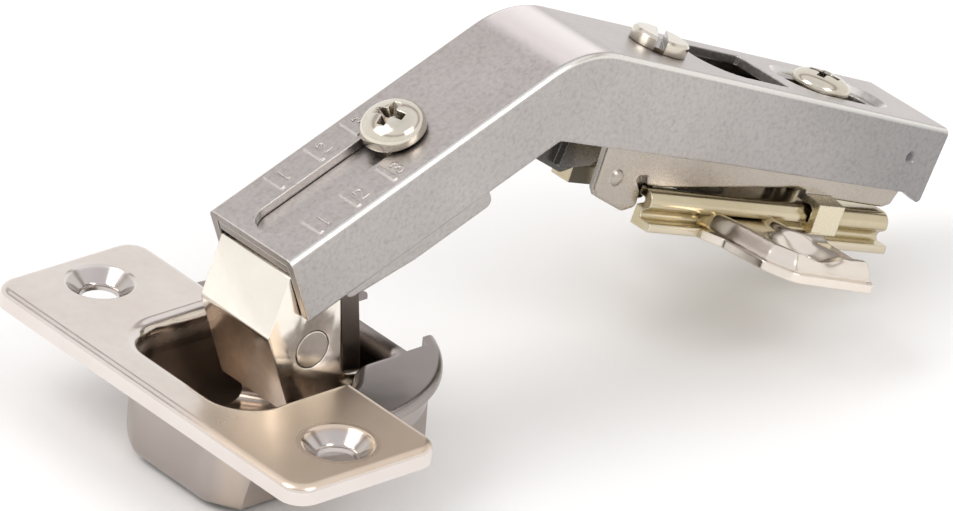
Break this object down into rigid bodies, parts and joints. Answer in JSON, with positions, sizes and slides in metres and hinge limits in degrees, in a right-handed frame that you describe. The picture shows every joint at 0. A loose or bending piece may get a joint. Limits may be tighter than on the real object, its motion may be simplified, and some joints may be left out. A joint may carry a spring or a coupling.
{
  "type": "concealed cup hinge",
  "caption": "Concealed cup hinge for a corner door: a round cup with screw flange, folding links, a bent slide-on arm with adjusting screws, and a winged base plate.",
  "frame": {"origin": "on the axis of the cup, at the door's face under the flange", "axes": "+Z out of the door along the cup's axis, +X towards the arm and the base plate, Y along the flange; the hinge is mirror-symmetric about Y = 0 and is stored open"},
  "size_m": [0.1169, 0.0582, 0.045],
  "materials": {
    "nickel_cup": "bright nickel plate",
    "nickel_arm": "satin nickel plate",
    "nickel_link": "bright nickel plate",
    "dark_link": "darker plate",
    "channel_steel": "satin nickel plate",
    "base_steel": "pale warm plate",
    "screw_steel": "nickel plate",
    "pin_steel": "plain steel",
    "spring_steel": "dark spring steel"
  },
  "bodies": {
    "cup": {"cup": "nickel_cup", "outer_link_cup_pin": "pin_steel", "inner_link_cup_pin": "pin_steel"},
    "outer_link": {"outer_link": "nickel_link", "outer_link_arm_pin": "pin_steel", "spring_pin": "pin_steel", "spring_sleeve": "dark_link", "closing_spring": "spring_steel"},
    "inner_link": {"inner_link": "dark_link"},
    "carrier": {"linkage_carrier": "nickel_arm", "inner_link_arm_pin": "pin_steel"},
    "depth_screw": {"depth_screw": "screw_steel"},
    "arm": {"arm": "nickel_arm"},
    "channel": {"mounting_channel": "channel_steel"},
    "overlay_screw": {"overlay_screw": "screw_steel"},
    "base": {"base_plate": "base_steel"},
    "fixing_screw": {"fixing_screw": "screw_steel"}
  },
  "joints": [
    {"name": "fold", "type": "hinge", "parent": "cup", "child": "outer_link", "pos_m": [0.0065, 0, -0.0028], "axis": [0, -1, 0], "range_deg": [0, 44]},
    {"name": "inner_link_turn", "type": "hinge", "parent": "cup", "child": "inner_link", "pos_m": [0.0082, 0, -0.0082], "axis": [0, -1, 0], "range_deg": [0, 34.5]},
    {"name": "carrier_turn", "type": "hinge", "parent": "outer_link", "child": "carrier", "pos_m": [-0.00097, 0, 0.01499], "axis": [0, -1, 0], "range_deg": [0, 2.5]},
    {"name": "depth_slide", "type": "slide", "parent": "carrier", "child": "arm", "axis": [0.9345, 0, 0.3561], "range_m": [0, 0.0165]},
    {"name": "depth_screw_turn", "type": "hinge", "parent": "carrier", "child": "depth_screw", "pos_m": [0.01457, 0, 0.02573], "axis": [-0.3561, 0, 0.9345], "range_deg": [0, 720]},
    {"name": "overlay_tilt", "type": "hinge", "parent": "arm", "child": "channel", "pos_m": [0.09016, 0, 0.00545], "axis": [0, -1, 0], "range_deg": [-1.5, 0]},
    {"name": "overlay_screw_turn", "type": "hinge", "parent": "channel", "child": "overlay_screw", "pos_m": [0.05421, 0, 0.02644], "axis": [0.4101, 0, 0.912], "range_deg": [0, 480]},
    {"name": "base_slide", "type": "slide", "parent": "channel", "child": "base", "axis": [0.9426, 0, -0.3338], "range_m": [0, 0.0035]},
    {"name": "fixing_screw_turn", "type": "hinge", "parent": "base", "child": "fixing_screw", "pos_m": [0.08117, 0, 0.01398], "axis": [0.3338, 0, 0.9426], "range_deg": [0, 720]}
  ],
  "couplings": [
    {"joint": "inner_link_turn", "follows": "fold", "ratio": 0.771},
    {"joint": "carrier_turn", "follows": "fold", "ratio": 0.053},
    {"joint": "overlay_tilt", "follows": "overlay_screw_turn", "ratio": -0.003125}
  ]
}
